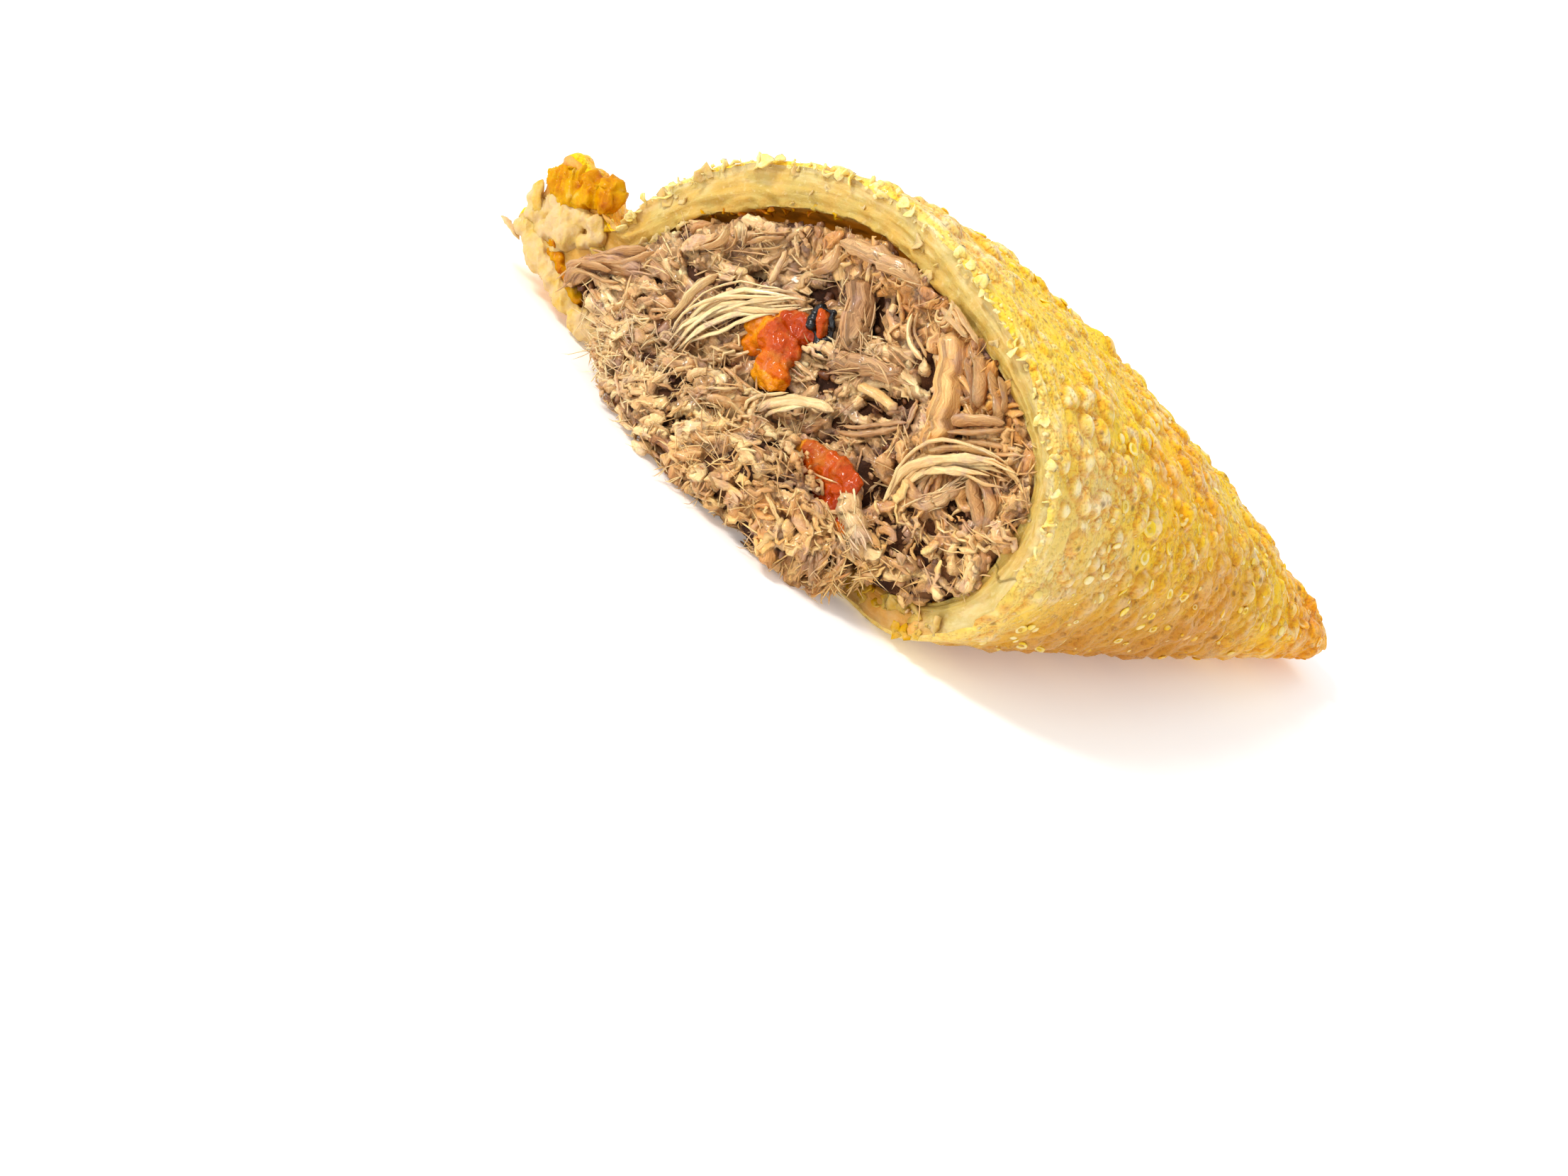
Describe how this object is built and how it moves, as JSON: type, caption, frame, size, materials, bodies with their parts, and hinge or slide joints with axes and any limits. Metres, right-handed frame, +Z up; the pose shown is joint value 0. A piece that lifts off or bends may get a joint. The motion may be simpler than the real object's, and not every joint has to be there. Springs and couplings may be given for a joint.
{
  "type": "half of a fried meat turnover",
  "caption": "Half of a fried empanada, cut across: a blistered dough shell folded over shredded meat with bits of red pepper, pressed shut along a curved rim.",
  "frame": {"origin": "middle of the bounding box's base, on the surface that the half lies on", "axes": "+X along the fold from the cut face to the pointed corner, +Y from the fold to the pressed rim, +Z up"},
  "size_m": [0.0854, 0.0686, 0.0325],
  "materials": {
    "crust": "fried wheat dough, golden, greasy sheen, cream blisters",
    "filling": "shredded braised meat, moist fibres",
    "pepper": "cooked red pepper, wet and glossy",
    "charred_pepper": "blackened pepper skin, glossy"
  },
  "bodies": {
    "root": {"crust": "crust", "filling": "filling", "pepper_upper": "pepper", "pepper_lower": "pepper", "pepper_charred": "charred_pepper"}
  },
  "joints": []
}
